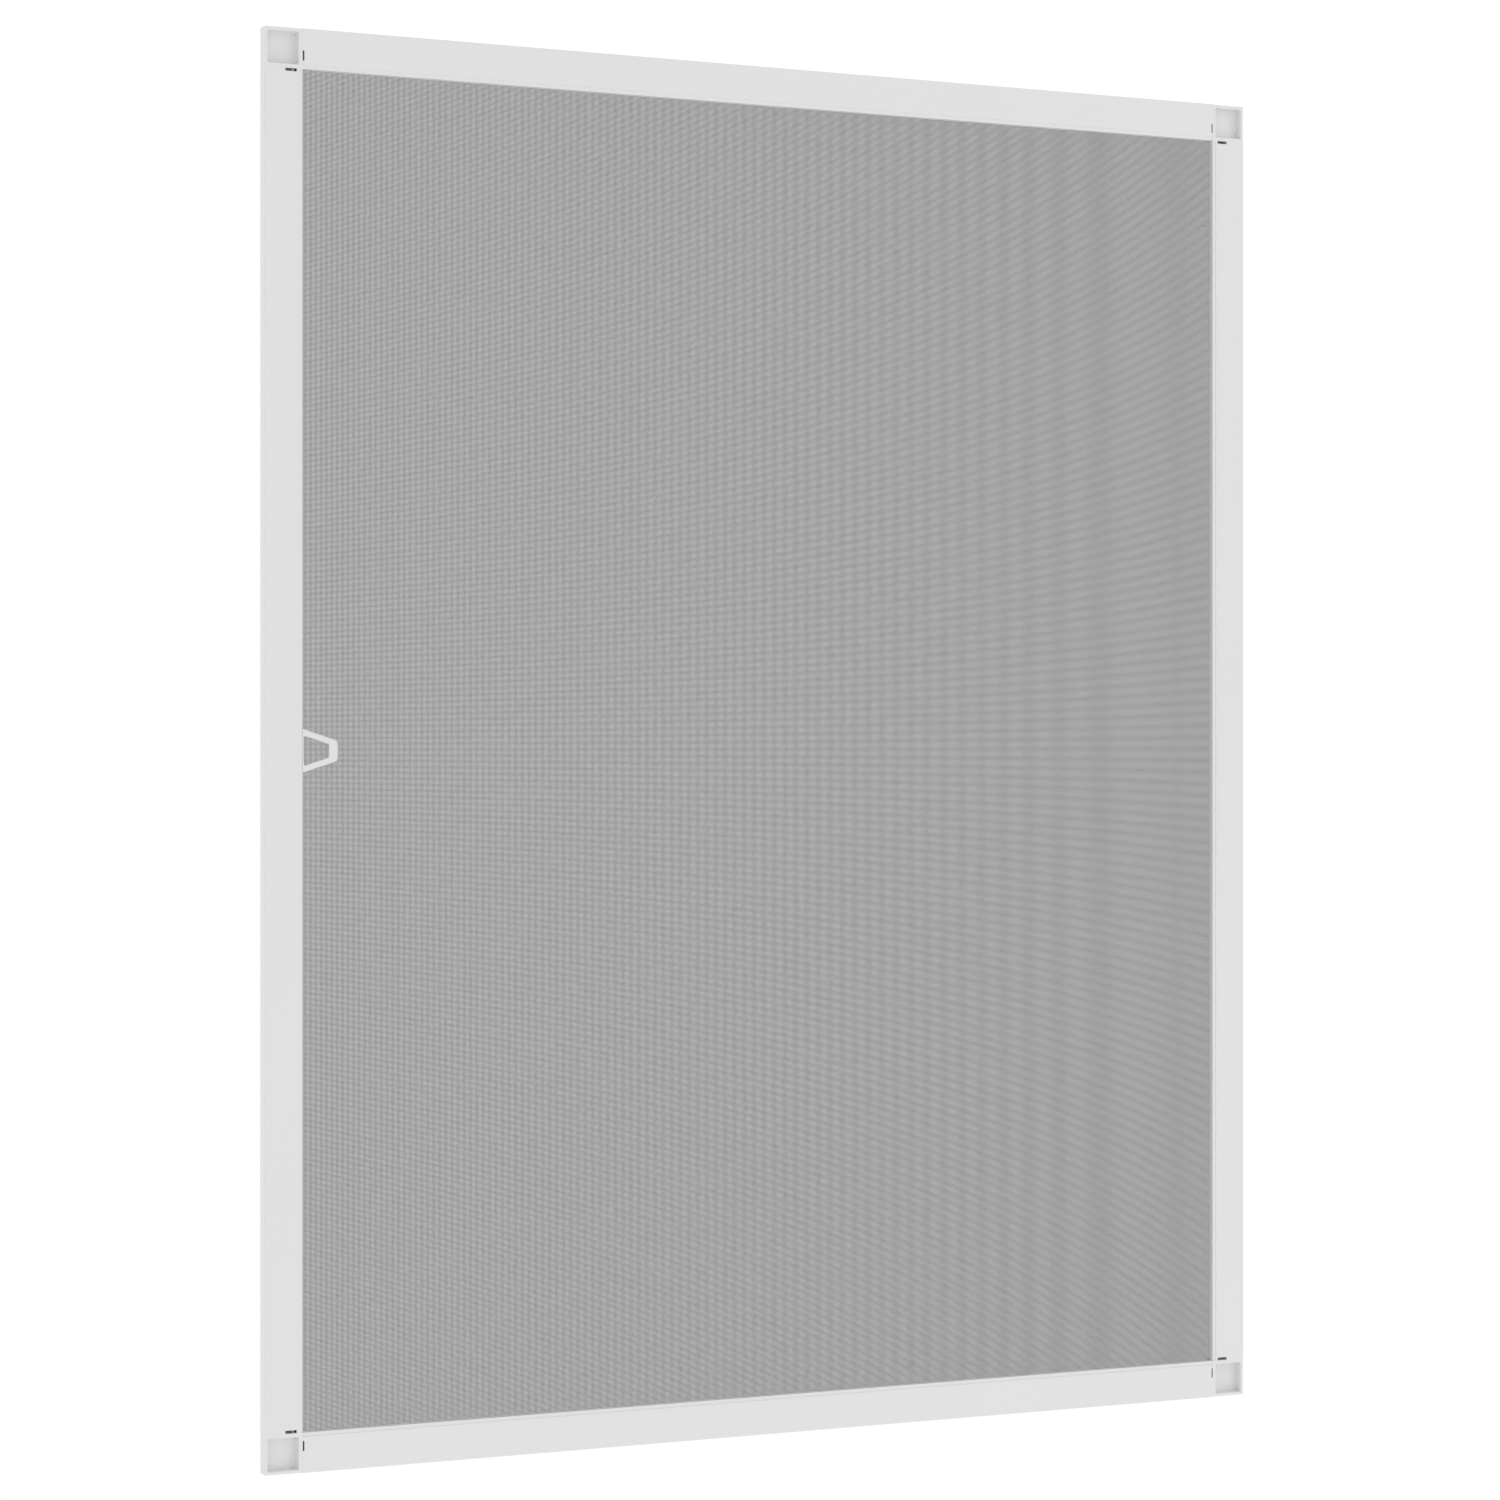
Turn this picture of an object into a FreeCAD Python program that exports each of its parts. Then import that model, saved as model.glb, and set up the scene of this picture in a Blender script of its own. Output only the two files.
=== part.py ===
import FreeCAD, Part
import math
import os

# Window screen frame: four extruded aluminium members joined by four moulded corner
# connectors, with an insect mesh held in a groove by rubber splines, and a pull loop.
# Millimetres. X is across the window, Z is up, and Y runs from the room to the window.
# The origin is the middle of the bottom edge, half way through the frame's depth.

# Overall size
FRAME_WIDTH = 800.0
FRAME_HEIGHT = 1000.0

# Extruded member, the same section all round
MEMBER_WIDTH = 28.0
MEMBER_DEPTH = 9.0
WALL = 1.2
LEG_CHAMBER_WIDTH = 12.4
EDGE_ROUND = 0.5
CHAMBER_ROUND = 0.3
MESH_SETBACK = 5.0

# Band along the inner edge, a little behind the front face
BAND_WIDTH = 2.8
BAND_STEP = 0.5
BAND_ROUND = 0.25

# Mesh and the spline that holds its hem in the groove
MESH_THICKNESS = 0.3
SPLINE_DIAMETER = 3.6
SPLINE_PROUD = 0.1
HEM_BELOW_MOUTH = 0.8
END_CLEARANCE = 0.3

# Relief notch at both ends of each member, between two distances from its inner edge
RELIEF_FAR_END = 12.7
RELIEF_NEAR_END_STILE = 4.2
RELIEF_NEAR_END_RAIL = 5.6
RELIEF_LENGTH_STILE = 2.2
RELIEF_LENGTH_RAIL = 1.3

# Corner connector: a square block with a pocket in its front, and two ribbed legs
BLOCK_INSET = 0.25
BLOCK_SETBACK = 0.15
BLOCK_ROUND = 0.8
RIM_ROUND = 0.3
OUTER_RIM = 2.2
INNER_RIM = 2.8
POCKET_DEPTH = 6.6
POCKET_ROUND = 0.8
POCKET_CHAMFER = 0.25
POCKET_DRAFT = 1.5
LEG_LENGTH = 45.0
LEG_FIT = 0.2
LEG_PLATE = 1.6
LEG_RIB = 1.5
LEG_CELLS = 5
LEG_TIP_TAPER = 1.5
LEG_TIP_LENGTH = 4.0
BARB_HEIGHT = 0.15
BARB_LENGTH = 2.0

# Pull loop on the left stile
LOOP_REACH = 26.0
LOOP_BASE = 30.5
LOOP_TIP = 14.0
LOOP_THICKNESS = 2.4
LOOP_BASE_BAR = 0.8
LOOP_SIDE_BAR = 4.2
LOOP_TIP_BAR = 6.5
LOOP_CORNER_ROUND = 2.5
LOOP_WINDOW_ROUND = 1.2
LOOP_EDGE_ROUND = 0.6
LOOP_FIT = 0.1
TONGUE_LENGTH = 16.0
TONGUE_THICKNESS = 0.9
TONGUE_REACH = 3.7
HOOK_WIDTH = 0.8
HOOK_RISE = 0.7

# Spline groove, measured across the member from its outer edge and back from its front face
groove_radius = SPLINE_DIAMETER / 2 + MESH_THICKNESS
groove_across = MEMBER_WIDTH - WALL - groove_radius
groove_back = MESH_SETBACK + SPLINE_PROUD - SPLINE_DIAMETER / 2
groove_floor = groove_back - groove_radius
rear_wall_inner = groove_across - groove_radius

# Lengths of the members between the corner blocks
stile_length = FRAME_HEIGHT - 2 * MEMBER_WIDTH
rail_length = FRAME_WIDTH - 2 * MEMBER_WIDTH


def at(across, back, along):
    """A point of a member: across it, back from its front face, and along it."""
    return FreeCAD.Vector(across, back - MEMBER_DEPTH / 2, along)


def outline(corners, place):
    """A closed wire through corners (a, b, radius), rounded by tangent arcs."""
    arcs = []
    count = len(corners)
    for i in range(count):
        a, b, radius = corners[i]
        here = FreeCAD.Vector(a, b, 0)
        before = FreeCAD.Vector(corners[i - 1][0], corners[i - 1][1], 0)
        after = FreeCAD.Vector(corners[(i + 1) % count][0], corners[(i + 1) % count][1], 0)
        back = (before - here).normalize()
        ahead = (after - here).normalize()
        half_angle = back.getAngle(ahead) / 2
        reach = radius / math.tan(half_angle)
        inward = (back + ahead).normalize()
        depth = radius / math.sin(half_angle) - radius
        arcs.append((here + back * reach, here + inward * depth, here + ahead * reach, radius))
    edges = []
    for i in range(count):
        start, middle, end, radius = arcs[i]
        points = [place(p.x, p.y) for p in (start, middle, end)]
        if radius > 0:
            edges.append(Part.Arc(*points).toShape())
        following = arcs[(i + 1) % count][0]
        edges.append(Part.LineSegment(points[2], place(following.x, following.y)).toShape())
    return Part.Wire(edges)


def block(low, high):
    """A box between two (across, back, along) corners."""
    size = [h - l for l, h in zip(low, high)]
    return Part.makeBox(size[0], size[1], size[2], at(*low))


def extruded(corners, length):
    """A bar along the member with the given section, centred on its length."""
    wire = outline(corners, lambda a, b: at(a, b, -length / 2))
    return Part.Face(wire).extrude(FreeCAD.Vector(0, 0, length))


def rod(radius, length):
    """A round bar along the spline groove's axis."""
    start = at(groove_across, groove_back, -length / 2)
    return Part.makeCylinder(radius, length, start, FreeCAD.Vector(0, 0, 1))


# Places: what is built for the left stile goes to each side of the frame
def to_left(shape):
    moved = shape.copy()
    moved.translate(FreeCAD.Vector(-FRAME_WIDTH / 2, 0, FRAME_HEIGHT / 2))
    return moved


def to_bottom(shape):
    moved = shape.copy()
    moved.rotate(FreeCAD.Vector(0, 0, 0), FreeCAD.Vector(0, 1, 0), -90)
    return moved


def mirrored_across(shape):
    return shape.mirror(FreeCAD.Vector(0, 0, 0), FreeCAD.Vector(1, 0, 0))


def mirrored_up(shape):
    return shape.mirror(FreeCAD.Vector(0, 0, FRAME_HEIGHT / 2), FreeCAD.Vector(0, 0, 1))


# Extruded members
def member(length, relief_near_end, relief_length):
    """One aluminium member: hollow, with the C-shaped spline groove open to the back."""
    outer = [
        (0, 0, EDGE_ROUND),
        (MEMBER_WIDTH - BAND_WIDTH, 0, BAND_ROUND),
        (MEMBER_WIDTH - BAND_WIDTH, BAND_STEP, 0),
        (MEMBER_WIDTH, BAND_STEP, EDGE_ROUND),
        (MEMBER_WIDTH, MESH_SETBACK, CHAMBER_ROUND),
        (rear_wall_inner, MESH_SETBACK, 0),
        (rear_wall_inner, MEMBER_DEPTH, EDGE_ROUND),
        (0, MEMBER_DEPTH, EDGE_ROUND),
    ]
    body = extruded(outer, length)
    leg_end = WALL + LEG_CHAMBER_WIDTH
    for low, high in ((WALL, leg_end), (leg_end + WALL, rear_wall_inner - WALL)):
        chamber = [
            (low, WALL, CHAMBER_ROUND),
            (high, WALL, CHAMBER_ROUND),
            (high, MEMBER_DEPTH - WALL, CHAMBER_ROUND),
            (low, MEMBER_DEPTH - WALL, CHAMBER_ROUND),
        ]
        body = body.cut(extruded(chamber, length))
    body = body.cut(rod(groove_radius, length))
    # Each notch is deep over the empty chamber, and shallow over the groove and its wall
    chamber_end = rear_wall_inner - WALL
    relief_start = MEMBER_WIDTH - RELIEF_FAR_END
    relief_end = MEMBER_WIDTH - relief_near_end
    for low, high in (
        (-length / 2, -length / 2 + relief_length),
        (length / 2 - relief_length, length / 2),
    ):
        body = body.cut([
            block((relief_start, 0, low), (chamber_end, MEMBER_DEPTH - WALL, high)),
            block((chamber_end, 0, low), (relief_end, groove_back, high)),
        ])
    return body


def tongue(grow):
    """The pull loop's foot in the spline groove, grown all round by a clearance."""
    end = MEMBER_WIDTH - TONGUE_REACH - grow
    front = groove_floor + LOOP_FIT - grow
    rear = groove_floor + LOOP_FIT + TONGUE_THICKNESS + grow
    half = TONGUE_LENGTH / 2 + grow
    strip = block((end, front, -half), (MEMBER_WIDTH + LOOP_BASE_BAR / 2, rear, half))
    hook = block((end, front, -half), (end + HOOK_WIDTH + 2 * grow, rear + HOOK_RISE, half))
    return strip.fuse(hook).removeSplitter()


def tongue_slot():
    """The slot through the lip of the left stile that the foot goes in by."""
    half = TONGUE_LENGTH / 2 + LOOP_FIT
    low = (groove_across, groove_floor, -half)
    high = (MEMBER_WIDTH + 1, groove_floor + TONGUE_THICKNESS + 2 * LOOP_FIT, half)
    return block(low, high)


# Corner connector
def leg():
    """One leg, along the member from the block: a plate with side walls, cross ribs and barbs."""
    low = WALL + LEG_FIT
    high = WALL + LEG_CHAMBER_WIDTH - LEG_FIT
    front = WALL + LEG_FIT
    rear = MEMBER_DEPTH - WALL - LEG_FIT
    plan = [
        (low, 0, 0),
        (high, 0, 0),
        (high, LEG_LENGTH - LEG_TIP_LENGTH, 0),
        (high - LEG_TIP_TAPER, LEG_LENGTH, 0),
        (low + LEG_TIP_TAPER, LEG_LENGTH, 0),
        (low, LEG_LENGTH - LEG_TIP_LENGTH, 0),
    ]
    wire = outline(plan, lambda a, b: at(a, front, b))
    body = Part.Face(wire).extrude(FreeCAD.Vector(0, rear - front, 0))
    cell_pitch = (LEG_LENGTH - LEG_TIP_LENGTH - LEG_RIB) / LEG_CELLS
    for i in range(LEG_CELLS):
        start = LEG_RIB + i * cell_pitch
        body = body.cut(block(
            (low + LEG_RIB, front + LEG_PLATE, start),
            (high - LEG_RIB, rear, start + cell_pitch - LEG_RIB),
        ))
    for side, outward in ((low, -1), (high, 1)):
        for i in range(LEG_CELLS):
            start = LEG_RIB + i * cell_pitch + (cell_pitch - LEG_RIB) / 2
            tooth = Part.Face(Part.makePolygon([
                at(side, front, start),
                at(side + outward * BARB_HEIGHT, front, start),
                at(side, front, start + BARB_LENGTH),
                at(side, front, start),
            ]))
            body = body.fuse(tooth.extrude(FreeCAD.Vector(0, rear - front, 0)))
    return body


def pocket():
    """The square pocket in the block's front: a chamfered mouth, then walls with their draft."""
    shrink = (POCKET_DEPTH - POCKET_CHAMFER) * math.tan(math.radians(POCKET_DRAFT))
    rings = []
    for inset, depth in ((-POCKET_CHAMFER, 0), (0, POCKET_CHAMFER), (shrink, POCKET_DEPTH)):
        back = BLOCK_SETBACK + depth
        low = OUTER_RIM + BLOCK_INSET + inset
        high = MEMBER_WIDTH - INNER_RIM - inset
        corners = [
            (low, low, POCKET_ROUND),
            (high, low, POCKET_ROUND),
            (high, high, POCKET_ROUND),
            (low, high, POCKET_ROUND),
        ]
        rings.append(outline(corners, lambda a, b: at(a, back, b)))
    return Part.makeLoft(rings, True, True)


def corner():
    """The bottom left connector, with one leg up the stile and one along the rail."""
    corners = [
        (BLOCK_INSET, BLOCK_INSET, BLOCK_ROUND),
        (MEMBER_WIDTH, BLOCK_INSET, 0),
        (MEMBER_WIDTH, MEMBER_WIDTH, 0),
        (BLOCK_INSET, MEMBER_WIDTH, 0),
    ]
    wire = outline(corners, lambda a, b: at(a, BLOCK_SETBACK, b))
    body = Part.Face(wire).extrude(FreeCAD.Vector(0, MEMBER_DEPTH - BLOCK_SETBACK, 0))
    body = body.cut(pocket())
    front = at(0, BLOCK_SETBACK, 0).y
    joint = MEMBER_WIDTH - 1e-6
    outer = BLOCK_INSET + BLOCK_ROUND + 1e-6
    rim_edges = [e for e in body.Edges if abs(e.BoundBox.YMin - front) < 1e-6
                 and abs(e.BoundBox.YMax - front) < 1e-6
                 and max(e.BoundBox.XMin, e.BoundBox.ZMin) < joint
                 and min(e.BoundBox.XMin, e.BoundBox.ZMin) < outer]
    body = body.makeFillet(RIM_ROUND, rim_edges)
    upright = leg()
    upright.translate(FreeCAD.Vector(0, 0, MEMBER_WIDTH))
    level = upright.mirror(FreeCAD.Vector(0, 0, 0), FreeCAD.Vector(1, 0, -1))
    body = body.fuse([upright, level]).removeSplitter()
    body.translate(FreeCAD.Vector(-FRAME_WIDTH / 2, 0, 0))
    return body


# Mesh and splines
def hem(length):
    """The mesh's edge, turned down into the groove between the spline and the metal."""
    lining = rod(groove_radius, length).cut(rod(SPLINE_DIAMETER / 2, length))
    mouth = block(
        (rear_wall_inner, MESH_SETBACK, -length / 2),
        (MEMBER_WIDTH, MESH_SETBACK + groove_radius, length / 2),
    )
    trimmed = block(
        (rear_wall_inner, MESH_SETBACK - HEM_BELOW_MOUTH, -length / 2),
        (groove_across, MESH_SETBACK, length / 2),
    )
    return lining.cut(mouth).cut(trimmed)


def mesh():
    """The insect mesh: a flat sheet on the four lips, with a hem in each groove."""
    mouth_height = MESH_SETBACK - groove_back
    edge = groove_across + math.sqrt((SPLINE_DIAMETER / 2) ** 2 - mouth_height ** 2)
    sheet = Part.makeBox(
        FRAME_WIDTH - 2 * edge,
        MESH_THICKNESS,
        FRAME_HEIGHT - 2 * edge,
        FreeCAD.Vector(edge - FRAME_WIDTH / 2, at(0, MESH_SETBACK, 0).y, edge),
    )
    square = MEMBER_WIDTH + END_CLEARANCE
    for x in (-FRAME_WIDTH / 2, FRAME_WIDTH / 2 - square):
        for z in (0, FRAME_HEIGHT - square):
            corner_cut = Part.makeBox(
                square, MEMBER_DEPTH, square, FreeCAD.Vector(x, -MEMBER_DEPTH / 2, z)
            )
            sheet = sheet.cut(corner_cut)
    upright = to_left(hem(stile_length - 2 * END_CLEARANCE))
    level = to_bottom(hem(rail_length - 2 * END_CLEARANCE))
    body = sheet.fuse([upright, mirrored_across(upright), level, mirrored_up(level)])
    return body.removeSplitter().cut(to_left(tongue(LOOP_FIT)))


# Pull loop
def pull_loop():
    """A trapezoid loop that stands clear of the mesh, with a foot trapped by the spline."""
    base = MEMBER_WIDTH + LOOP_FIT
    tip = MEMBER_WIDTH + LOOP_REACH
    slope = math.atan2((LOOP_BASE - LOOP_TIP) / 2, tip - base)
    centre = groove_floor + LOOP_FIT + TONGUE_THICKNESS / 2
    front = centre - LOOP_THICKNESS / 2

    def place(a, b):
        return at(a, front, b)

    def window_half(across):
        half = LOOP_BASE / 2 - (across - base) * math.tan(slope)
        return half - LOOP_SIDE_BAR / math.cos(slope)

    outer = [
        (base, -LOOP_BASE / 2, 0),
        (tip, -LOOP_TIP / 2, LOOP_CORNER_ROUND),
        (tip, LOOP_TIP / 2, LOOP_CORNER_ROUND),
        (base, LOOP_BASE / 2, 0),
    ]
    near = base + LOOP_BASE_BAR
    far = tip - LOOP_TIP_BAR
    window = [
        (near, -window_half(near), LOOP_WINDOW_ROUND),
        (far, -window_half(far), LOOP_WINDOW_ROUND),
        (far, window_half(far), LOOP_WINDOW_ROUND),
        (near, window_half(near), LOOP_WINDOW_ROUND),
    ]
    through = FreeCAD.Vector(0, LOOP_THICKNESS, 0)
    body = Part.Face(outline(outer, place)).extrude(through)
    body = body.cut(Part.Face(outline(window, place)).extrude(through))
    base_plane = at(base, 0, 0).x
    soft = [e for e in body.Edges
            if e.BoundBox.YLength < 1e-6 and e.BoundBox.XMax > base_plane + 1e-3]
    body = body.makeFillet(LOOP_EDGE_ROUND, soft)
    return body.fuse(tongue(0)).removeSplitter()


stile = to_left(member(stile_length, RELIEF_NEAR_END_STILE, RELIEF_LENGTH_STILE))
rail = to_bottom(member(rail_length, RELIEF_NEAR_END_RAIL, RELIEF_LENGTH_RAIL))
connector = corner()
upright_spline = to_left(rod(SPLINE_DIAMETER / 2, stile_length - 2 * END_CLEARANCE))
level_spline = to_bottom(rod(SPLINE_DIAMETER / 2, rail_length - 2 * END_CLEARANCE))

nodes = {
    "stile_left": stile.cut(to_left(tongue_slot())),
    "stile_right": mirrored_across(stile),
    "rail_bottom": rail,
    "rail_top": mirrored_up(rail),
    "corner_bottom_left": connector,
    "corner_bottom_right": mirrored_across(connector),
    "corner_top_left": mirrored_up(connector),
    "corner_top_right": mirrored_up(mirrored_across(connector)),
    "insect_mesh": mesh(),
    "spline_left": upright_spline.cut(to_left(tongue(0))),
    "spline_right": mirrored_across(upright_spline),
    "spline_bottom": level_spline,
    "spline_top": mirrored_up(level_spline),
    "pull_loop": to_left(pull_loop()),
}

os.makedirs("parts", exist_ok=True)
for name, shape in nodes.items():
    shape.exportStep(f"parts/{name}.step")
    box = shape.BoundBox
    print(f"{name}: {len(shape.Solids)} solid, valid {shape.isValid()}, "
          f"{shape.Volume:.0f} mm3, {box.XLength:.1f} x {box.YLength:.1f} x {box.ZLength:.1f} mm")
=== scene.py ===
# %% [markdown]
# # A window screen frame
# A white aluminium frame holds a dark insect mesh, and a small plastic loop pulls it out of the
# window. The frame's members, corner connectors, splines and loop are exact solids made before,
# so this lesson loads them and gives them their finishes. What it models is the mesh: nearly two
# thousand yarns, each laid over the frame's lips and tucked round the splines.

# %% Load the solid parts
import math

import bpy
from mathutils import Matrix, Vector


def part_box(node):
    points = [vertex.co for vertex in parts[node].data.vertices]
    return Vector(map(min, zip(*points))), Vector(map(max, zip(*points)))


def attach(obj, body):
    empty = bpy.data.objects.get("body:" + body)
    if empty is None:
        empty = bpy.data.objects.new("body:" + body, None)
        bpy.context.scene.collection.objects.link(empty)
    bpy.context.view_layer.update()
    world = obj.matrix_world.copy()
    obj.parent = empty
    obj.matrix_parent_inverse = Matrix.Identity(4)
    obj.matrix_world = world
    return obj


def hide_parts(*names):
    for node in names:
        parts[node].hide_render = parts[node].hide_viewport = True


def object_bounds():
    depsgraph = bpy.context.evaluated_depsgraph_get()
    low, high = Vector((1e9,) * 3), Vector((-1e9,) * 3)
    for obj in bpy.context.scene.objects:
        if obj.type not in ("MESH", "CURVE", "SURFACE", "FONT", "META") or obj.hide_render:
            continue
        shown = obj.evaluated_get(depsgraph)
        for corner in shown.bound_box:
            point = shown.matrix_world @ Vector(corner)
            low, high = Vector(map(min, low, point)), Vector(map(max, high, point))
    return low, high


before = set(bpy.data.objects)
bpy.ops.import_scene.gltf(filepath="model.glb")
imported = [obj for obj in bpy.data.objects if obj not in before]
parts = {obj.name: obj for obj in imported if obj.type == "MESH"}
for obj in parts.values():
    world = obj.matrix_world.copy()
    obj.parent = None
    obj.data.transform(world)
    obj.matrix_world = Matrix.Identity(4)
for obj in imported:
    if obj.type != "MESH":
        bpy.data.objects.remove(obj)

MM = 0.001
solid_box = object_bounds()
print("parts:", ", ".join(sorted(parts)))
print("size in mm:", [round(side / MM, 1) for side in solid_box[1] - solid_box[0]])

# %% [markdown]
# ## Camera
# The camera comes first, because it decides what has to look right. It stands level with the
# middle of the frame, to the left of it and three metres away, with a long lens. A long lens
# from far away keeps the frame's edges nearly parallel. A camera object looks along its own -Z,
# so to_track_quat turns that axis towards the view direction.

# %% Camera
CAMERA_PLACE = Vector((-1.3272, -2.6467, 0.5005))
CAMERA_AZIMUTH = math.radians(26.2)
CAMERA_LENS = 96.84

camera_data = bpy.data.cameras.new("camera")
camera_data.lens = CAMERA_LENS
camera = bpy.data.objects.new("camera", camera_data)
bpy.context.scene.collection.objects.link(camera)
look = Vector((math.sin(CAMERA_AZIMUTH), math.cos(CAMERA_AZIMUTH), 0))
camera.location = CAMERA_PLACE
camera.rotation_euler = look.to_track_quat("-Z", "Y").to_euler()
bpy.context.scene.camera = camera
print("camera looks along", [round(part, 3) for part in look])

# %% [markdown]
# ## Helpers for modelling
# An operator works on whatever is selected, and the loaded parts are all selected at the start.
# These helpers clear the selection, leave one object active, apply its modifiers and turn its
# faces outwards, as a person does with the mouse.

# %% Selection helpers
def only(piece):
    """Leaves one object selected and active."""
    bpy.ops.object.select_all(action="DESELECT")
    piece.select_set(True)
    bpy.context.view_layer.objects.active = piece


def apply_modifiers(piece):
    only(piece)
    for modifier in list(piece.modifiers):
        bpy.ops.object.modifier_apply(modifier=modifier.name)


def clean_up(piece, merge):
    """Merges points closer than merge and turns all faces outwards."""
    only(piece)
    bpy.ops.object.mode_set(mode="EDIT")
    bpy.ops.mesh.select_all(action="SELECT")
    bpy.ops.mesh.remove_doubles(threshold=merge)
    bpy.ops.mesh.normals_make_consistent(inside=False)
    bpy.ops.object.mode_set(mode="OBJECT")


bpy.ops.object.select_all(action="DESELECT")
print("objects selected:", len(bpy.context.selected_objects))

# %% [markdown]
# ## Where the mesh lies
# The mesh lies flat on the lips behind the members. At each side it turns over the lip's tip
# and goes down into a round groove, where a rubber spline holds it. All of this is measured
# from the loaded parts: the splines give the grooves' axes, and the mesh's solid gives the
# level of the lips. A groove is wider than its spline by one mesh thickness all round.

# %% Measure the grooves
MESH_THICKNESS = 0.3 * MM

spline_low, spline_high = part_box("spline_right")
rail_spline_low, rail_spline_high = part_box("spline_top")
mesh_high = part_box("insect_mesh")[1]
middle_height = (solid_box[0].z + solid_box[1].z) / 2
spline_radius = (spline_high.x - spline_low.x) / 2
groove_y = (spline_low.y + spline_high.y) / 2
groove_x = (spline_low.x + spline_high.x) / 2
groove_rise = (rail_spline_low.z + rail_spline_high.z) / 2 - middle_height
lip_y = mesh_high.y - MESH_THICKNESS
groove_radius = spline_radius + MESH_THICKNESS
tip_inset = math.sqrt(groove_radius ** 2 - (lip_y - groove_y) ** 2)
print("groove axes in mm from the middle:", round(groove_x / MM, 2), round(groove_rise / MM, 2))
print("lip tip", round(tip_inset / MM, 2), "mm inside them, at y", round(lip_y / MM, 2), "mm")

# %% [markdown]
# ## One yarn
# A yarn of insect mesh is a glass-fibre thread in a soft plastic coat, flattened where it
# crosses its neighbours. It could be a curve with a bevel, but that gives far more faces than
# a thread this thin can use, and there are nearly two thousand of them. So half a yarn starts
# as a four-sided ring, and smooth shading rounds it later. The ring is extruded along the flat
# run, folded over the tip of the lip, and spun the other way round the spline. The warp, which
# the loom keeps tight, stays full, so its ring is turned to lie flat side up. The looser weft
# is pressed to a lens, so its ring keeps a corner at the front. Both rings are one unit across
# before they are scaled to the yarn's width and thickness.

# %% Half a yarn
YARN_SIDES = 4
FULL_RING = math.sqrt(0.5)
LENS_RING = 0.5
YARN_WIDTH = 0.328 * MM
YARN_THICKNESS = 0.15 * MM
YARN_CLEARANCE = 0.01 * MM
YARN_TONES = 8
TIP_STEPS = 1
HEM_STEPS = 4
HEM_BELOW_MOUTH = 0.8 * MM

bend_radius = YARN_THICKNESS / 2 + YARN_CLEARANCE
flat_y = lip_y + bend_radius
hem_radius = groove_radius - bend_radius
tip_angle = math.atan2(lip_y - groove_y, tip_inset)
tip_turn = math.pi / 2 + tip_angle
hem_end = math.asin((lip_y - HEM_BELOW_MOUTH - groove_y) / hem_radius)
hem_step = (math.pi + tip_angle + hem_end) / HEM_STEPS


def half_yarn(name, groove_out, hem_steps, full):
    """The +X half of a yarn along X, from the origin to a groove whose axis is groove_out away."""
    tip = Vector((groove_out - tip_inset, lip_y, 0))
    groove = Vector((groove_out, groove_y, 0))
    bpy.ops.mesh.primitive_circle_add(
        vertices=YARN_SIDES, radius=FULL_RING if full else LENS_RING, fill_type="NOTHING",
        location=(0, 0, 0), rotation=(0, math.pi / 2, 0),
    )
    piece = bpy.context.object
    piece.name = name
    bpy.ops.object.transform_apply(location=True, rotation=True, scale=True)
    bpy.ops.object.mode_set(mode="EDIT")
    bpy.ops.mesh.select_all(action="SELECT")
    if full:
        bpy.ops.transform.rotate(value=math.pi / 4, orient_axis="X", center_override=(0, 0, 0))
    bpy.ops.transform.resize(value=(1, YARN_THICKNESS, YARN_WIDTH), center_override=(0, 0, 0))
    bpy.ops.transform.translate(value=(0, flat_y, 0))
    bpy.ops.mesh.extrude_region_move(TRANSFORM_OT_translate={"value": (tip.x, 0, 0)})
    bpy.ops.mesh.spin(steps=TIP_STEPS, angle=tip_turn, center=tip, axis=(0, 0, 1))
    bpy.ops.mesh.spin(steps=hem_steps, angle=hem_steps * hem_step, center=groove, axis=(0, 0, -1))
    bpy.ops.mesh.edge_face_add()
    bpy.ops.object.mode_set(mode="OBJECT")
    return piece


print("hem:", HEM_STEPS, "steps of", round(math.degrees(hem_step), 1), "degrees round the spline")

# %% [markdown]
# ## The yarn's own coordinates
# The yarn's finish follows the yarn, so it needs a UV map. U runs along it and grows by one
# for every two crossings, because a woven yarn goes over one neighbour and under the next.
# V runs round it through one of eight bands, and each band will get its own tone. The rings
# were made in order, so a point's number tells which ring it is on and where on the ring. The
# end face lies on one ring only, so its points are spread a little along U.

# %% Write the UV map
YARN_MAP = "OFBake"
END_SPREAD = 0.05


def map_yarn(piece, groove_out, crossing_pitch, phase, full):
    """Lays the map along a half yarn that meets a crossing yarn at every crossing_pitch."""
    flat = groove_out - tip_inset
    tip_arc = bend_radius * tip_turn / TIP_STEPS
    hem_arc = hem_radius * hem_step
    rings = len(piece.data.vertices) // YARN_SIDES
    along = [0.0, flat]
    for ring in range(2, rings):
        along.append(along[-1] + (tip_arc if ring < 2 + TIP_STEPS else hem_arc))
    layer = piece.data.uv_layers.new(name=YARN_MAP)
    for face in piece.data.polygons:
        places = [divmod(i, YARN_SIDES) for i in face.vertices]
        cap = len({ring for ring, side in places}) == 1
        seam = {0, YARN_SIDES - 1} <= {side for ring, side in places} and not cap
        for loop, (ring, side) in zip(face.loop_indices, places):
            turn = side + YARN_SIDES if seam and side == 0 else side
            u = along[ring] / (2 * crossing_pitch) + phase
            if cap:
                u += END_SPREAD * math.sin(math.tau * side / YARN_SIDES)
            layer.data[loop].uv = (u, (turn + full / 2) / YARN_SIDES / YARN_TONES)


print("the map is called", YARN_MAP)

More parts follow.
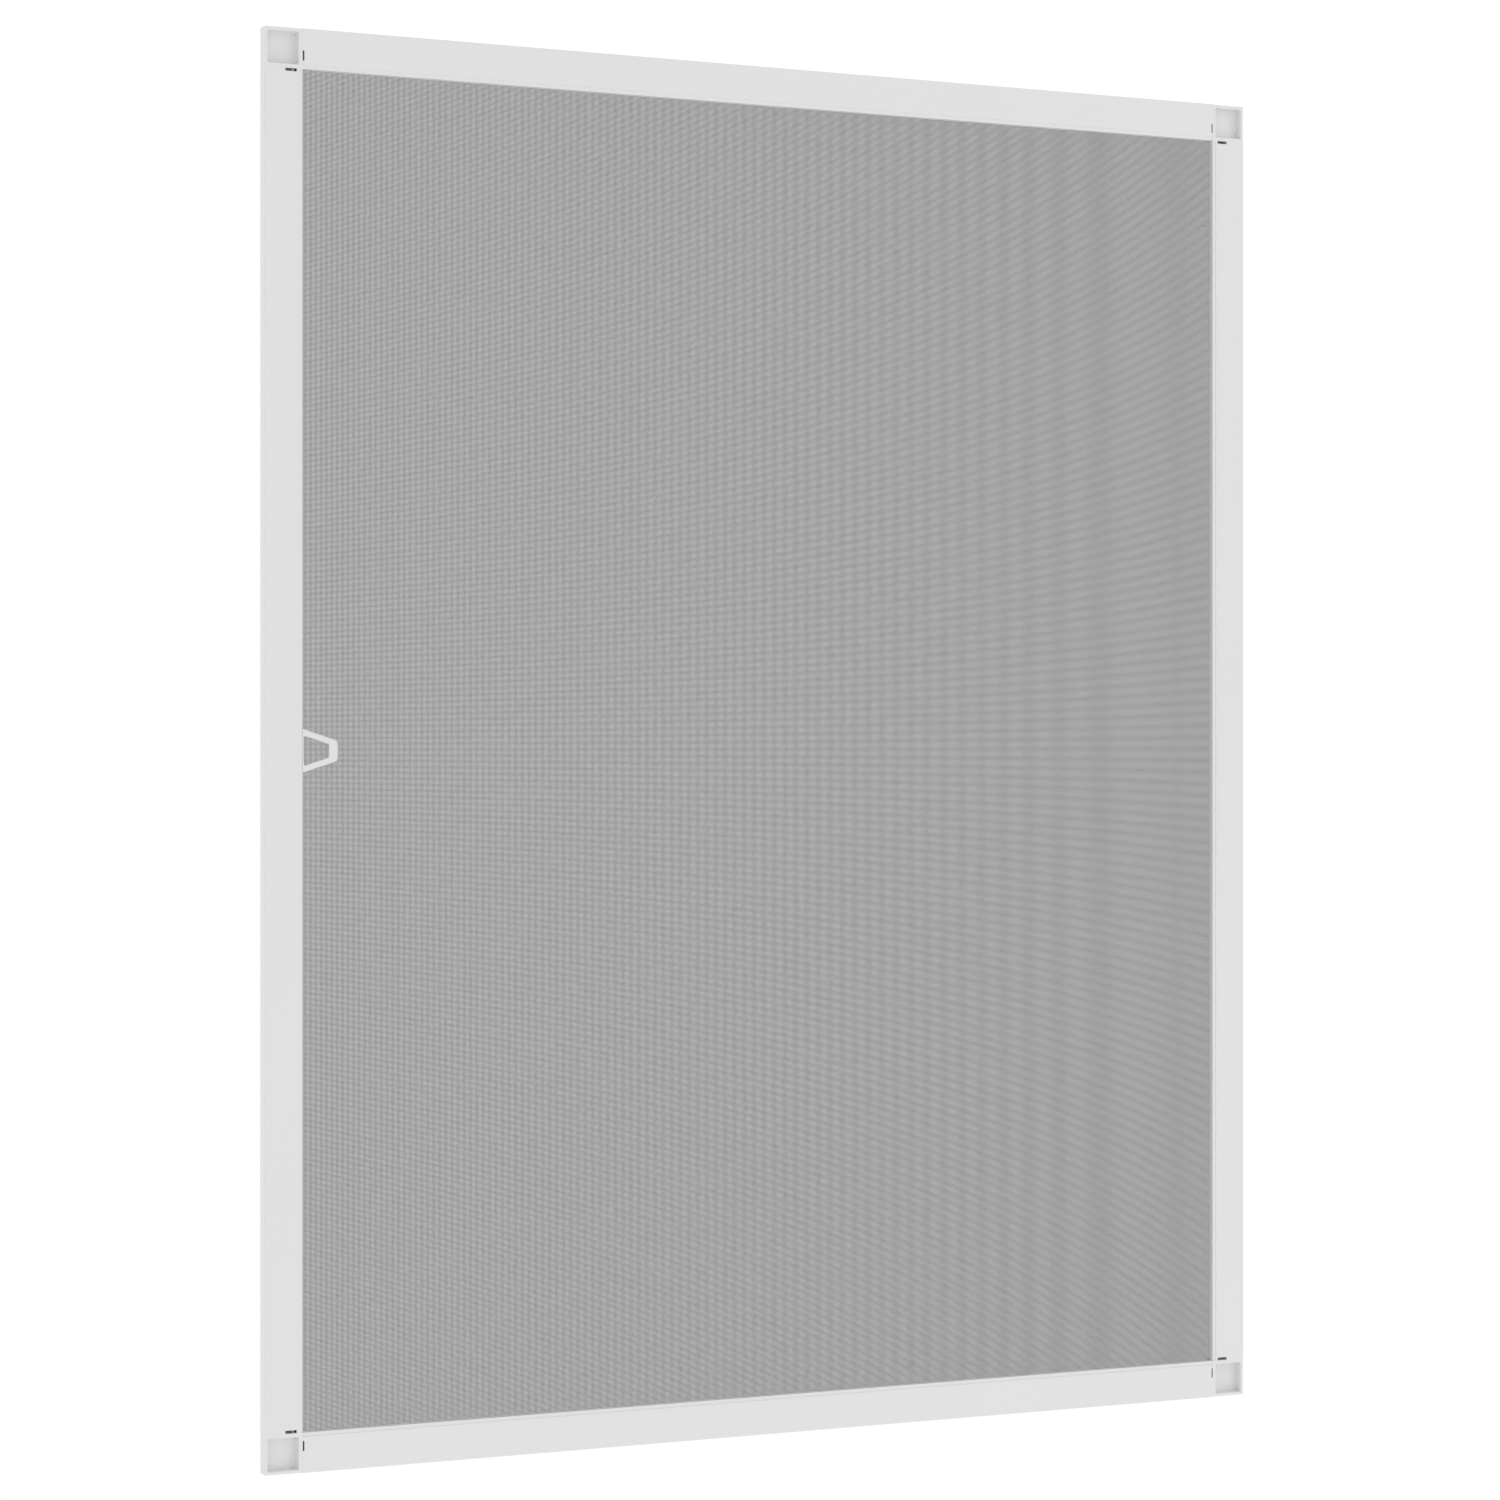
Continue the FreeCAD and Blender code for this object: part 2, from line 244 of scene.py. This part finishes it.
# %% [markdown]
# ## Weft and warp
# The yarns of one direction are all the same, so one is made whole by a Mirror modifier and an
# Array modifier repeats it across the frame. This is a fine mesh: thirty weft yarns to the inch
# run level and twenty-eight warp yarns to the inch run upright. Across the whole frame there
# is an odd number of each, so that a crossing falls on its middle and the map's mirror image
# fits. The warp is spread by a hair so that its last yarn lies right beside the stile, where
# the mesh shows as a thin dark line. Each copy's map is moved on by half a turn of the weave
# and by three tones.

# %% Whole yarns and their copies
INCH = 25.4 * MM
WEFT_PITCH = INCH / 30
LOOM_WARP_PITCH = INCH / 28
LIP_CLEARANCE = 0.05 * MM
MEMBER_WIDTH = 28.0 * MM
TONES_ON = 3
MERGE = 0.02 * MM

flat_width = solid_box[1].x - solid_box[0].x - 2 * MEMBER_WIDTH
flat_height = solid_box[1].z - solid_box[0].z - 2 * MEMBER_WIDTH
weft_reach = int((flat_height / 2 - YARN_WIDTH / 2) / WEFT_PITCH)
last_warp = flat_width / 2 - YARN_WIDTH / 2 - LIP_CLEARANCE
warp_reach = round(last_warp / LOOM_WARP_PITCH)
WARP_PITCH = last_warp / warp_reach


def whole_yarn(name, groove_out, crossing_pitch, phase, full):
    """A yarn with a full hem at both ends."""
    piece = half_yarn(name, groove_out, HEM_STEPS, full)
    map_yarn(piece, groove_out, crossing_pitch, phase, full)
    mirror = piece.modifiers.new("other half", "MIRROR")
    mirror.merge_threshold = 0.001 * MM
    apply_modifiers(piece)
    clean_up(piece, MERGE)
    return piece


def move(piece, offset):
    only(piece)
    bpy.ops.transform.translate(value=offset)
    bpy.ops.object.transform_apply(location=True, rotation=True, scale=True)


def repeat(piece, count, step):
    """Copies a yarn, each copy half a turn of the weave and some tones on."""
    array = piece.modifiers.new("copies", "ARRAY")
    array.count = count
    array.use_relative_offset = False
    array.use_constant_offset = True
    array.constant_offset_displace = step
    array.offset_u = 0.5
    array.offset_v = TONES_ON / YARN_TONES
    apply_modifiers(piece)


print(2 * weft_reach + 1, "weft yarns and", 2 * warp_reach + 1, "warp yarns")

# %% [markdown]
# ## Weft yarns at the pull loop
# The pull loop's foot lies in the left groove, under the spline. The weft yarns there can't go
# round the spline, so their left hems stop short. These few yarns are made from two different
# halves. The rest lie below and above them.

# %% Weft
FOOT_HALF_LENGTH = 8.1 * MM
SHORT_HEM_STEPS = 1

foot_reach = int((FOOT_HALF_LENGTH + YARN_WIDTH / 2) / WEFT_PITCH)


def weft_group(name, first, last):
    """The full weft yarns from one place to another, counted up from the middle of the frame."""
    piece = whole_yarn(name, groove_x, WARP_PITCH, first % 2 / 2, full=False)
    move(piece, (0, 0, middle_height + first * WEFT_PITCH))
    repeat(piece, last - first + 1, (0, 0, WEFT_PITCH))
    return piece


def weft_at_foot():
    """The weft yarns beside the loop's foot, with a short hem on the left."""
    first = -foot_reach
    right = half_yarn("weft_at_foot", groove_x, HEM_STEPS, full=False)
    left = half_yarn("short_half", groove_x, SHORT_HEM_STEPS, full=False)
    for half in (right, left):
        map_yarn(half, groove_x, WARP_PITCH, first % 2 / 2, full=False)
    only(left)
    bpy.ops.object.mode_set(mode="EDIT")
    bpy.ops.mesh.select_all(action="SELECT")
    bpy.ops.transform.resize(value=(-1, 1, 1), center_override=(0, 0, 0))
    bpy.ops.object.mode_set(mode="OBJECT")
    only(right)
    left.select_set(True)
    bpy.ops.object.join()
    clean_up(right, MERGE)
    move(right, (0, 0, middle_height + first * WEFT_PITCH))
    repeat(right, 2 * foot_reach + 1, (0, 0, WEFT_PITCH))
    return right


weft_low = weft_group("weft_low", -weft_reach, -foot_reach - 1)
weft_middle = weft_at_foot()
weft_high = weft_group("weft_high", foot_reach + 1, weft_reach)
print("weft yarns beside the foot:", 2 * foot_reach + 1)

# %% [markdown]
# ## Warp yarns
# A warp yarn is made in the same way, along X, with the rails' groove at its ends. Then it is
# turned upright. The operator that turns things needs its centre given, and with no window it
# turns the other way round, but a yarn that is the same both ways up doesn't mind.

# %% Warp
def warp_group():
    piece = whole_yarn("warp", groove_rise, WEFT_PITCH, (1 - warp_reach % 2) / 2, full=True)
    only(piece)
    bpy.ops.transform.rotate(value=math.pi / 2, orient_axis="Y", center_override=(0, 0, 0))
    move(piece, (-warp_reach * WARP_PITCH, 0, middle_height))
    repeat(piece, 2 * warp_reach + 1, (WARP_PITCH, 0, 0))
    return piece


warp = warp_group()
low = min(v.co.z for v in warp.data.vertices) / MM
high = max(v.co.z for v in warp.data.vertices) / MM
print("warp yarns reach from", round(low, 2), "to", round(high, 2), "mm")

# %% [markdown]
# ## The rows along the edges
# Mesh doesn't stop at the opening. Two more yarns lie on each lip, beside the spline, and more
# go down into the groove with the hem. They run along the members, so they are plain lengths:
# each is one ring, turned as the mesh turns there and extruded. First comes the place of a row.

# %% Places of the edge rows
END_CLEARANCE = 0.3 * MM
EDGE_ROWS = 4


def place_on_mesh(groove_out, run):
    """The place of a row that lies run from the middle, along the cloth, and its normal's angle."""
    tip = Vector((groove_out - tip_inset, lip_y, 0))
    if run <= tip.x:
        return Vector((run, flat_y, 0)), math.pi / 2
    turned = (run - tip.x) / bend_radius
    if turned <= tip_turn:
        angle = math.pi / 2 - turned
        return tip + Vector((math.cos(angle), math.sin(angle), 0)) * bend_radius, angle
    angle = math.pi - tip_angle + (turned - tip_turn) * bend_radius / hem_radius
    groove = Vector((groove_out, groove_y, 0))
    return groove + Vector((math.cos(angle), math.sin(angle), 0)) * hem_radius, angle


print("rows beside each edge:", EDGE_ROWS)

# %% [markdown]
# ## One edge row
# A row is one plain length, and its map goes on where the mesh's own yarns stop. The map starts
# at the middle of the row's front, and the ring's first corner is one and a half sides on from
# there. The ends are filled after the map is laid, because the map only knows the long faces.

# %% One edge row
RING_START = 1.5


def edge_row(name, place, angle, half_length):
    """An upright row about the origin, with its flat side turned to the angle."""
    bpy.ops.mesh.primitive_circle_add(
        vertices=YARN_SIDES, radius=FULL_RING, fill_type="NOTHING",
        location=(0, 0, 0), rotation=(0, 0, 0),
    )
    piece = bpy.context.object
    piece.name = name
    bpy.ops.object.mode_set(mode="EDIT")
    bpy.ops.mesh.select_all(action="SELECT")
    bpy.ops.transform.rotate(value=math.pi / 4, orient_axis="Z", center_override=(0, 0, 0))
    bpy.ops.transform.resize(value=(YARN_WIDTH, YARN_THICKNESS, 1), center_override=(0, 0, 0))
    bpy.ops.transform.rotate(value=math.pi / 2 - angle, orient_axis="Z", center_override=(0, 0, 0))
    bpy.ops.transform.translate(value=(place.x, place.y, -half_length))
    bpy.ops.mesh.extrude_region_move(TRANSFORM_OT_translate={"value": (0, 0, 2 * half_length)})
    bpy.ops.object.mode_set(mode="OBJECT")
    return piece


def map_row(piece, row, half_length, crossing_pitch):
    """Lays the map along a row, half a turn of the weave and some tones on from the last one."""
    layer = piece.data.uv_layers.new(name=YARN_MAP)
    for face in piece.data.polygons:
        seam = {0, YARN_SIDES - 1} <= {i % YARN_SIDES for i in face.vertices}
        for loop, i in zip(face.loop_indices, face.vertices):
            ring, side = divmod(i, YARN_SIDES)
            turn = side + YARN_SIDES if seam and side == 0 else side
            u = (2 * ring - 1) * half_length / (2 * crossing_pitch) + row / 2
            v = ((turn + RING_START) / YARN_SIDES + TONES_ON * row) / YARN_TONES
            layer.data[loop].uv = (u, v)


print("a row has", YARN_SIDES, "long faces and two ends")

# %% [markdown]
# ## All edge rows
# The rows of one edge are made about the origin and mirrored to the edge across the frame. The
# stiles' rows are upright as they are, and the rails' rows are laid level. No two rows touch,
# so nothing may merge when their faces are turned outwards.

# %% Edge rows
NO_MERGE = 0.0001 * MM


def edge_rows(name, groove_out, half_length, reach, pitch, crossing_pitch):
    """The rows beside the +X edge, made upright about the origin, and those across from them."""
    pieces = []
    for row in range(EDGE_ROWS):
        place, angle = place_on_mesh(groove_out, (reach + 1 + row) * pitch)
        piece = edge_row(f"{name}_{row}", place, angle, half_length)
        map_row(piece, row, half_length, crossing_pitch)
        only(piece)
        bpy.ops.object.mode_set(mode="EDIT")
        bpy.ops.mesh.select_all(action="SELECT")
        bpy.ops.mesh.fill_holes(sides=YARN_SIDES)
        bpy.ops.object.mode_set(mode="OBJECT")
        pieces.append(piece)
    only(pieces[0])
    for piece in pieces:
        piece.select_set(True)
    bpy.ops.object.join()
    rows = bpy.context.object
    mirror = rows.modifiers.new("other side", "MIRROR")
    mirror.use_mirror_merge = False
    apply_modifiers(rows)
    clean_up(rows, NO_MERGE)
    return rows


stile_rows = edge_rows(
    "stile_rows", groove_x, flat_height / 2 - END_CLEARANCE, warp_reach, WARP_PITCH, WEFT_PITCH)
move(stile_rows, (0, 0, middle_height))
rail_rows = edge_rows(
    "rail_rows", groove_rise, flat_width / 2 - END_CLEARANCE, weft_reach, WEFT_PITCH, WARP_PITCH)
only(rail_rows)
bpy.ops.transform.rotate(value=math.pi / 2, orient_axis="Y", center_override=(0, 0, 0))
move(rail_rows, (0, 0, middle_height))
print("edge rows:", len(stile_rows.data.polygons) + len(rail_rows.data.polygons), "faces")

# %% [markdown]
# ## One mesh
# All the yarns are one woven sheet, so they are joined into one piece. It stands for the plain
# sheet of the solid model.

# %% Join the yarns
yarns = weft_low
only(yarns)
for piece in (weft_middle, weft_high, warp, stile_rows, rail_rows):
    piece.select_set(True)
bpy.ops.object.join()
yarns.name = "insect_mesh_yarns"
yarns.data.name = "insect_mesh_yarns"
bpy.ops.object.shade_smooth()

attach(yarns, "root")
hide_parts("insect_mesh")
triangles = sum(len(face.vertices) - 2 for face in yarns.data.polygons)
print("mesh of", len(yarns.data.polygons), "faces,", triangles, "triangles")

# %% [markdown]
# ## Helpers for materials
# A material is a small network of nodes. These helpers make a material with its main shader,
# make a node group with named sockets, and join two sockets. A group holds an effect that
# several finishes share, and it puts out only heights and colours: the shader itself stays in
# the material.

# %% Material helpers
def new_material(name):
    made = bpy.data.materials.new(name)
    made.use_nodes = True
    return made, made.node_tree.nodes, made.node_tree.nodes["Principled BSDF"]


def join(tree, source, target):
    tree.links.new(source, target)


def new_group(name, inputs, outputs):
    """A node group; inputs and outputs are (name, socket type, default) in order."""
    group = bpy.data.node_groups.new(name, "ShaderNodeTree")
    for direction, sockets in (("INPUT", inputs), ("OUTPUT", outputs)):
        for label, kind, default in sockets:
            socket = group.interface.new_socket(name=label, in_out=direction, socket_type=kind)
            if default is not None:
                socket.default_value = default
    start = group.nodes.new("NodeGroupInput")
    end = group.nodes.new("NodeGroupOutput")
    return group, start, end


def math_node(tree, operation, first, second):
    """A Math node; first and second are sockets or numbers."""
    node = tree.nodes.new("ShaderNodeMath")
    node.operation = operation
    for place, value in enumerate((first, second)):
        if isinstance(value, (int, float)):
            node.inputs[place].default_value = value
        elif value is not None:
            join(tree, value, node.inputs[place])
    return node.outputs[0]


print("helpers ready")

# %% [markdown]
# ## A fine grain
# Powder coat flows into a faint orange peel as it melts, and a moulded part copies the fine
# texture of its steel mould. Both are noise of two sizes added up, so one group serves both.
# Size is the width of the grain in metres.

# %% Grain group
FINE_RATIO = 3.1
FINE_SHARE = 0.3


def make_grain():
    group, start, end = new_group(
        "surface_grain",
        [("Vector", "NodeSocketVector", None), ("Size", "NodeSocketFloat", 0.001)],
        [("Height", "NodeSocketFloat", None)],
    )
    scale = math_node(group, "DIVIDE", 1.0, start.outputs["Size"])
    fine_scale = math_node(group, "MULTIPLY", scale, FINE_RATIO)
    layers = []
    for size in (scale, fine_scale):
        noise = group.nodes.new("ShaderNodeTexNoise")
        noise.inputs["Detail"].default_value = 1.0
        join(group, start.outputs["Vector"], noise.inputs["Vector"])
        join(group, size, noise.inputs["Scale"])
        layers.append(noise.outputs[0])
    faint = math_node(group, "MULTIPLY", layers[1], FINE_SHARE)
    height = math_node(group, "ADD", layers[0], faint)
    join(group, height, end.inputs["Height"])
    return group


grain_group = make_grain()
print("grain group with", len(grain_group.nodes), "nodes")

# %% [markdown]
# ## A faint change of tone
# No white part is one even white. The coat is a little thinner here and there, and plastic
# cools unevenly. This group lightens and darkens a colour by a small amount over a slow noise.

# %% Tone group
def make_tone():
    group, start, end = new_group(
        "faint_tone",
        [
            ("Vector", "NodeSocketVector", None),
            ("Color", "NodeSocketColor", (0.8, 0.8, 0.8, 1.0)),
            ("Size", "NodeSocketFloat", 0.05),
            ("Amount", "NodeSocketFloat", 0.04),
        ],
        [("Color", "NodeSocketColor", None)],
    )
    noise = group.nodes.new("ShaderNodeTexNoise")
    noise.inputs["Detail"].default_value = 3.0
    join(group, start.outputs["Vector"], noise.inputs["Vector"])
    join(group, math_node(group, "DIVIDE", 1.0, start.outputs["Size"]), noise.inputs["Scale"])
    centred = math_node(group, "SUBTRACT", noise.outputs[0], 0.5)
    change = math_node(group, "MULTIPLY", centred, start.outputs["Amount"])
    factor = math_node(group, "ADD", change, 1.0)
    scaled = group.nodes.new("ShaderNodeVectorMath")
    scaled.operation = "SCALE"
    join(group, start.outputs["Color"], scaled.inputs[0])
    join(group, factor, scaled.inputs["Scale"])
    join(group, scaled.outputs[0], end.inputs["Color"])
    return group


tone_group = make_tone()
print("tone group with", len(tone_group.nodes), "nodes")

# %% [markdown]
# ## White finishes
# The painted members, the corner connectors and the pull loop share one white, but not their
# shine and grain. They use the same two groups with their own numbers, so one function builds
# them. The pattern reads Object coordinates, which are metres here, so a grain size is a real
# size. The tops of the grain are a little rougher than its hollows.

# %% White finishes
WHITE = (0.82, 0.82, 0.82, 1.0)
GRAIN_ROUGHNESS = 0.12


def white_finish(name, roughness, grain_size, grain_depth, tone_size, tone_amount):
    made, nodes, shader = new_material(name)
    tree = made.node_tree
    place = nodes.new("ShaderNodeTexCoord").outputs["Object"]
    tone = nodes.new("ShaderNodeGroup")
    tone.node_tree = tone_group
    tone.inputs["Color"].default_value = WHITE
    tone.inputs["Size"].default_value = tone_size
    tone.inputs["Amount"].default_value = tone_amount
    grain = nodes.new("ShaderNodeGroup")
    grain.node_tree = grain_group
    grain.inputs["Size"].default_value = grain_size
    for group in (tone, grain):
        join(tree, place, group.inputs["Vector"])
    bump = nodes.new("ShaderNodeBump")
    bump.inputs["Distance"].default_value = grain_depth
    join(tree, grain.outputs["Height"], bump.inputs["Height"])
    rough = math_node(tree, "MULTIPLY", grain.outputs["Height"], GRAIN_ROUGHNESS)
    rough = math_node(tree, "ADD", rough, roughness)
    join(tree, tone.outputs["Color"], shader.inputs["Base Color"])
    join(tree, rough, shader.inputs["Roughness"])
    join(tree, bump.outputs["Normal"], shader.inputs["Normal"])
    return made


powder_coat = white_finish(
    "powder_coat", roughness=0.34, grain_size=0.9 * MM, grain_depth=0.03 * MM,
    tone_size=120 * MM, tone_amount=0.03)
corner_plastic = white_finish(
    "corner_plastic", roughness=0.44, grain_size=0.35 * MM, grain_depth=0.015 * MM,
    tone_size=20 * MM, tone_amount=0.03)
loop_plastic = white_finish(
    "loop_plastic", roughness=0.26, grain_size=1.6 * MM, grain_depth=0.008 * MM,
    tone_size=10 * MM, tone_amount=0.02)


def give(finish, *names):
    for name in names:
        parts[name].material_slots[0].material = finish


give(powder_coat, "stile_left", "stile_right", "rail_bottom", "rail_top")
give(corner_plastic, "corner_bottom_left", "corner_bottom_right")
give(corner_plastic, "corner_top_left", "corner_top_right")
give(loop_plastic, "pull_loop")
print("white finishes:", powder_coat.name, corner_plastic.name, loop_plastic.name)

# %% [markdown]
# ## Ridged rubber
# A spline is an extruded rubber cord with fine ridges across it, which grip the mesh. It lies
# deep in its groove and only its crown shows, from behind. Modelled ridges would be thousands
# of faces, so a wave drives a Bump node. Two cords run upright and two run level, so there are
# two materials, and a Mapping node turns the ridges for the level ones. The crests of the
# ridges are worn smoother than the valleys.

# %% Ridge group and rubber
RIDGE_PITCH = 1.1 * MM
RIDGE_DEPTH = 0.12 * MM
RUBBER_GREY = (0.05, 0.05, 0.052, 1.0)
RUBBER_ROUGHNESS = 0.75
CREST_SHINE = 0.15


def make_ridges():
    group, start, end = new_group(
        "cord_ridges",
        [("Vector", "NodeSocketVector", None), ("Pitch", "NodeSocketFloat", 0.001)],
        [("Height", "NodeSocketFloat", None)],
    )
    split = group.nodes.new("ShaderNodeSeparateXYZ")
    join(group, start.outputs["Vector"], split.inputs[0])
    turns = math_node(group, "DIVIDE", split.outputs["Z"], start.outputs["Pitch"])
    wave = math_node(group, "SINE", math_node(group, "MULTIPLY", turns, math.tau), None)
    height = math_node(group, "MULTIPLY", math_node(group, "ADD", wave, 1.0), 0.5)
    join(group, height, end.inputs["Height"])
    return group


ridge_group = make_ridges()


def rubber(name, turn):
    made, nodes, shader = new_material(name)
    tree = made.node_tree
    mapping = nodes.new("ShaderNodeMapping")
    mapping.inputs["Rotation"].default_value = (0, turn, 0)
    join(tree, nodes.new("ShaderNodeTexCoord").outputs["Object"], mapping.inputs["Vector"])
    ridges = nodes.new("ShaderNodeGroup")
    ridges.node_tree = ridge_group
    ridges.inputs["Pitch"].default_value = RIDGE_PITCH
    tone = nodes.new("ShaderNodeGroup")
    tone.node_tree = tone_group
    tone.inputs["Color"].default_value = RUBBER_GREY
    tone.inputs["Size"].default_value = 15 * MM
    tone.inputs["Amount"].default_value = 0.5
    for group in (ridges, tone):
        join(tree, mapping.outputs["Vector"], group.inputs["Vector"])
    bump = nodes.new("ShaderNodeBump")
    bump.inputs["Distance"].default_value = RIDGE_DEPTH
    join(tree, ridges.outputs["Height"], bump.inputs["Height"])
    rough = math_node(tree, "MULTIPLY", ridges.outputs["Height"], -CREST_SHINE)
    join(tree, math_node(tree, "ADD", rough, RUBBER_ROUGHNESS), shader.inputs["Roughness"])
    join(tree, tone.outputs["Color"], shader.inputs["Base Color"])
    join(tree, bump.outputs["Normal"], shader.inputs["Normal"])
    return made


give(rubber("rubber_upright", 0), "spline_left", "spline_right")
give(rubber("rubber_level", math.pi / 2), "spline_bottom", "spline_top")
print("ridges every", round(RIDGE_PITCH / MM, 2), "mm")

# %% [markdown]
# ## Woven yarn
# The coated yarn is dark grey with a soft shine. It bends over and under its neighbours by
# about its own thickness. That is far too fine to model, so the material draws it from the
# UV map: a cosine along the yarn lifts the front where the back sinks. Where the yarn dives
# under its neighbour its grey is painted darker, as a painted shade of the crossing yarn, and
# each of the eight tones is a little different. Both are shares of the full grey: the lowest share,
# and the range above it.

# %% Yarn finish
YARN_GREY = (0.034, 0.034, 0.036)
YARN_BUMP = 0.12 * MM
TONE_LOW, TONE_RANGE = 0.7, 0.3
# Painted shade: the share of grey where the yarn sinks, and how much lighter it gets where it
# rises.
SUNK_SHADE_LOW, SUNK_SHADE_RANGE = 0.6, 0.5
ROUGH_LOW, ROUGH_RANGE = 0.45, 0.1


def ranged(tree, value, low, span):
    """low where the value is 0, and low + span where it is 1."""
    return math_node(tree, "ADD", math_node(tree, "MULTIPLY", value, span), low)


def yarn_finish():
    made, nodes, shader = new_material("coated_yarn")
    tree = made.node_tree
    source = nodes.new("ShaderNodeUVMap")
    source.uv_map = YARN_MAP
    split = nodes.new("ShaderNodeSeparateXYZ")
    join(tree, source.outputs["UV"], split.inputs[0])
    turned = math_node(tree, "MULTIPLY", split.outputs["X"], math.tau)
    along = math_node(tree, "COSINE", turned, None)
    bands = math_node(tree, "MULTIPLY", split.outputs["Y"], YARN_TONES)
    around = math_node(tree, "COSINE", math_node(tree, "MULTIPLY", bands, math.tau), None)
    lift = math_node(tree, "MULTIPLY", along, around)
    height = math_node(tree, "MULTIPLY", math_node(tree, "SUBTRACT", 1.0, lift), 0.5)
    bump = nodes.new("ShaderNodeBump")
    bump.inputs["Distance"].default_value = YARN_BUMP
    join(tree, height, bump.inputs["Height"])
    band = math_node(tree, "FLOORED_MODULO", math_node(tree, "FLOOR", bands, None), YARN_TONES)
    tone = nodes.new("ShaderNodeTexWhiteNoise")
    tone.noise_dimensions = "1D"
    join(tree, band, tone.inputs["W"])
    spread = ranged(tree, tone.outputs["Value"], TONE_LOW, TONE_RANGE)
    # Painted shade: the grey is darkened where the yarn sinks under its neighbour.
    painted_sunk_shade = ranged(tree, height, SUNK_SHADE_LOW, SUNK_SHADE_RANGE)
    scaled = nodes.new("ShaderNodeVectorMath")
    scaled.operation = "SCALE"
    scaled.inputs[0].default_value = YARN_GREY
    join(tree, math_node(tree, "MULTIPLY", spread, painted_sunk_shade), scaled.inputs["Scale"])
    join(tree, scaled.outputs[0], shader.inputs["Base Color"])
    rough = ranged(tree, tone.outputs["Value"], ROUGH_LOW, ROUGH_RANGE)
    join(tree, rough, shader.inputs["Roughness"])
    join(tree, bump.outputs["Normal"], shader.inputs["Normal"])
    return made


yarns.data.materials.clear()
yarns.data.materials.append(yarn_finish())
print("yarn finish on", yarns.name)

# %% [markdown]
# ## Floor and wall
# The frame stands on plain white, with no edge or shadow, as in a cut-out photograph. That is
# a floor that curves up into a wall. It is a plane whose back edge is extruded up, and the
# fold is bevelled round. It glows evenly, which keeps it pure white and lights the frame
# softly from below and behind.

# %% Sweep
SWEEP_WIDTH = 16.0
SWEEP_DEPTH = 12.0
WALL_HEIGHT = 6.0
FOLD_RADIUS = 1.5
FOLD_SEGMENTS = 12
WHITE_GLOW = 1.02

bpy.ops.object.select_all(action="DESELECT")
bpy.ops.mesh.primitive_plane_add(size=1, location=(0, 0, 0))
sweep = bpy.context.object
sweep.name = "sweep"
sweep.scale = (SWEEP_WIDTH, SWEEP_DEPTH, 1)
bpy.ops.object.transform_apply(location=True, rotation=True, scale=True)
bpy.ops.object.mode_set(mode="EDIT")
bpy.ops.mesh.select_all(action="DESELECT")
bpy.ops.object.mode_set(mode="OBJECT")
for edge in sweep.data.edges:
    edge.select = all(sweep.data.vertices[i].co.y > 0 for i in edge.vertices)
bpy.ops.object.mode_set(mode="EDIT")
bpy.ops.mesh.select_mode(type="EDGE")
bpy.ops.mesh.extrude_region_move(TRANSFORM_OT_translate={"value": (0, 0, WALL_HEIGHT)})
bpy.ops.object.mode_set(mode="OBJECT")
fold = sweep.modifiers.new("fold", "BEVEL")
fold.width = FOLD_RADIUS
fold.segments = FOLD_SEGMENTS
apply_modifiers(sweep)
bpy.ops.object.shade_smooth()

sweep_white, sweep_nodes = new_material("sweep_white")[:2]
glow = sweep_nodes.new("ShaderNodeEmission")
glow.inputs["Color"].default_value = (1.0, 1.0, 1.0, 1.0)
glow.inputs["Strength"].default_value = WHITE_GLOW
join(sweep_white.node_tree, glow.outputs[0], sweep_nodes["Material Output"].inputs["Surface"])
sweep.data.materials.append(sweep_white)
print("sweep with", len(sweep.data.polygons), "faces")

# %% [markdown]
# ## Soft light
# The photograph's light comes from everywhere, as in a white tent, and all white faces come
# out nearly alike. A plain pale world does that, and one broad lamp from the front and above
# adds a little direction. Where the world itself is seen, past the edge of the sweep, it is as
# white as the sweep, so no horizon shows. The picture is shown with the Standard view, so white
# stays white.

# %% World and lamp
TENT_LIGHT = 0.735
LAMP_SIZE = 3.0
LAMP_POWER = 23.0
LAMP_PLACE = Vector((3.0, -3.4, 3.4))
FRAME_MIDDLE = Vector((0, 0, 0.5))

world = bpy.data.worlds.new("tent")
world.use_nodes = True
tent = world.node_tree
lit = tent.nodes["Background"]
seen = tent.nodes.new("ShaderNodeBackground")
for background, strength in ((lit, TENT_LIGHT), (seen, WHITE_GLOW)):
    background.inputs["Color"].default_value = (1.0, 1.0, 1.0, 1.0)
    background.inputs["Strength"].default_value = strength
choice = tent.nodes.new("ShaderNodeMixShader")
join(tent, tent.nodes.new("ShaderNodeLightPath").outputs["Is Camera Ray"], choice.inputs[0])
join(tent, lit.outputs[0], choice.inputs[1])
join(tent, seen.outputs[0], choice.inputs[2])
join(tent, choice.outputs[0], tent.nodes["World Output"].inputs["Surface"])
bpy.context.scene.world = world

lamp_data = bpy.data.lights.new("softbox", "AREA")
lamp_data.shape = "SQUARE"
lamp_data.size = LAMP_SIZE
lamp_data.energy = LAMP_POWER
lamp = bpy.data.objects.new("softbox", lamp_data)
lamp.location = LAMP_PLACE
lamp.rotation_euler = (FRAME_MIDDLE - LAMP_PLACE).to_track_quat("-Z", "Y").to_euler()
bpy.context.scene.collection.objects.link(lamp)
bpy.context.scene.view_settings.view_transform = "Standard"
print("lamp of", lamp_data.energy, "watts")

# %% [markdown]
# ## Finish
# The finished model should stay inside the box of the solid parts, so that box is printed.

# %% Finish
print("solid box", [[round(c / MM, 2) for c in corner] for corner in solid_box])
